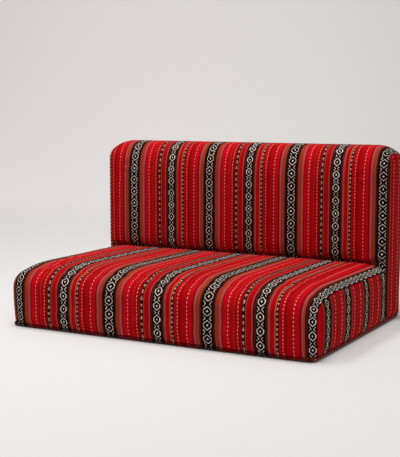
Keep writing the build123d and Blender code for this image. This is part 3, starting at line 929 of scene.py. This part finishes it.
tape = zip_weave("zip_tape", shade(78, 16, 22), shade(48, 8, 12), pitch=1.4)
coil = zip_weave("zip_coil", shade(58, 16, 18), shade(38, 10, 12), pitch=2.6)
thread = zip_weave("thread", shade(150, 20, 28), shade(96, 8, 14), pitch=0.9)
for name in ("zip_tape_upper", "zip_tape_lower"):
    paint(name, tape)
brass = metal("zip_metal", shade(184, 152, 96), shade(120, 92, 52), size=0.0012, rough=0.38)
for name in ("zip_slider", "zip_pull", "zip_stops"):
    paint(name, brass)
teeth_depth, stitch_depth = 0.41275, 0.4142  # how far back the two kinds of rows lie
tooth, tooth_step, tooth_count = coil_tooth(), 0.0015, 719
for side, x, z, seed in (("upper", -0.5397, 0.06362, 1), ("lower", -0.53895, 0.06038, 2)):
    teeth = row("zip_teeth_" + side, tooth, (x, teeth_depth, z), (tooth_step, 0, 0), tooth_count,
                wobble=0.02, seed=seed, material=coil)
    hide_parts("zip_coil_" + side)
stitch, stitch_step, stitch_count = rounded_bar(length=0.0032, width=0.0007, height=0.0006), 0.0044, 247
for name, z, seed in (("zip_stitches_upper", 0.0709, 3), ("zip_stitches_lower", 0.0531, 4)):
    stitches = row(name, stitch, (-0.541, stitch_depth, z), (stitch_step, 0, 0), stitch_count,
                   wobble=0.05, seed=seed, material=thread)


# Underside: a black cloth that keeps dust out, held to the timber by staples all round, and round
# glides of dark plastic on nails, on which the sofa stands.
dust_cloth = speckled("dust_cloth", shade(44, 44, 46), shade(22, 22, 24), size=0.0016, depth=0.0004)
paint("dust_cover", dust_cloth)
staples = (("front", 0, -0.55, -0.372, (0.055, 0, 0), 21), ("rear", 0, -0.55, 0.386, (0.055, 0, 0), 21),
           ("left", 1, -0.566, -0.33, (0, 0.0555, 0), 13), ("right", 1, 0.566, -0.33, (0, 0.0555, 0), 13))
dust_cover_face = 0.0038
for side, along, x, y, step, count in staples:
    staple = rounded_bar(length=0.011, width=0.0013, height=0.0006, along=along)
    made = row("dust_staples_" + side, staple, (x, y, dust_cover_face), step, count, wobble=0.12,
               seed=count, material=zinc)
glide_plastic = speckled("glide_plastic", shade(42, 40, 38), shade(30, 28, 27), size=0.0009,
                         depth=0.0001, rough=0.45)
paint("glides", glide_plastic)


# Studio: a pale paper floor that curves up into the backdrop, one broad light above the sofa and a
# soft one from its front right. The paper also glows a little in places, as painted light.
def backdrop():
    """One sheet: the floor, a quarter round and the wall."""
    near, bend, radius, top, half_width = -6.0, 3.0, 2.0, 8.0, 9.0
    profile = [(near, 0.0), (bend, 0.0)]
    profile += [(bend + radius * math.sin(angle), radius - radius * math.cos(angle))
                for angle in np.linspace(0, math.pi / 2, 17)[1:]]
    profile += [(bend + radius, top)]
    points = [(x, y, z) for y, z in profile for x in (-half_width, half_width)]
    faces = [(2 * k, 2 * k + 1, 2 * k + 3, 2 * k + 2) for k in range(len(profile) - 1)]
    made = mesh_object("backdrop", points, faces)
    shade_smooth(made.data)
    return made


def backdrop_paint():
    """Paper that glows with painted light: a little brighter far behind the sofa, and in the shadow at its
    right side, which the glow paints lighter.
    """
    graph, connect = new_material("backdrop_paper_painted_glow", Roughness=0.9, Emission_Strength=1.0)
    cloud = graph.noise(graph.stretched(), 0.6, 2.0)
    colour = graph.mix(cloud, shade(205, 204, 202), shade(208, 207, 205))
    across = graph.node("ShaderNodeSeparateXYZ", {0: graph.stretched()})
    depth = Wire(graph, across.socket.node.outputs[1])
    # Painted light: a glow on the paper far behind the sofa, stronger towards the left.
    aside = (across + 2.9) / 2.6
    hill = (0.08 - 0.08 * (aside * aside)).larger(0.0)
    behind = ((depth - 0.6) / 2.8).clipped() * (0.05 - 0.037 * across + hill).larger(0.0)
    # Painted light: a glow on the floor strip beside the right side, which lightens the sofa's shadow there.
    near, far = 0.590, 0.668  # the strip of floor at the right side
    beside = ((across - near) / 0.006).clipped() * ((far - across) / 0.052).clipped()
    beside = 0.25 * (beside * ((REAR - abs(depth)) / 0.09).clipped())
    tints = enumerate((1.0, 0.9, 0.885))
    glow = graph.node("ShaderNodeCombineColor", {slot: behind * tint + beside for slot, tint in tints})
    return connect(Base_Color=colour, Emission_Color=glow)


floor = backdrop()
floor.data.materials.append(backdrop_paint())


def area_light(name, place, target, size, power):
    lamp = bpy.data.lights.new(name, "AREA")
    lamp.shape, lamp.size, lamp.energy = "DISK", size, power
    made = bpy.data.objects.new(name, lamp)
    made.location = place
    made.rotation_euler = (Vector(target) - Vector(place)).to_track_quat("-Z", "Y").to_euler()
    bpy.context.collection.objects.link(made)


area_light("key", (-0.6, -0.7, 4.6), target=(0, 0, 0.2), size=3.0, power=226)
area_light("fill", (3.2, -4.2, 1.8), target=(0, 0, 0.3), size=3.0, power=10)
world = bpy.data.worlds.new("studio")
bpy.context.scene.world = world
world.use_nodes = True
sky = world.node_tree.nodes["Background"].inputs
sky["Color"].default_value = (1.0, 0.99, 0.975, 1.0)
sky["Strength"].default_value = 0.445


# Camera, where the photograph was taken from: at the sofa's front right, a little above it.
camera = bpy.data.objects.new("camera", bpy.data.cameras.new("camera"))
bpy.context.collection.objects.link(camera)
bpy.context.scene.camera = camera
camera.data.lens = 82.87
turn, dip = math.radians(28.6475), math.radians(6.8279)
ahead = Vector((-math.sin(turn) * math.cos(dip), math.cos(turn) * math.cos(dip), -math.sin(dip)))
camera.location = (1.808, -3.374, 0.804)
camera.rotation_euler = ahead.to_track_quat("-Z", "Y").to_euler()
bpy.context.scene.view_settings.view_transform = "Standard"
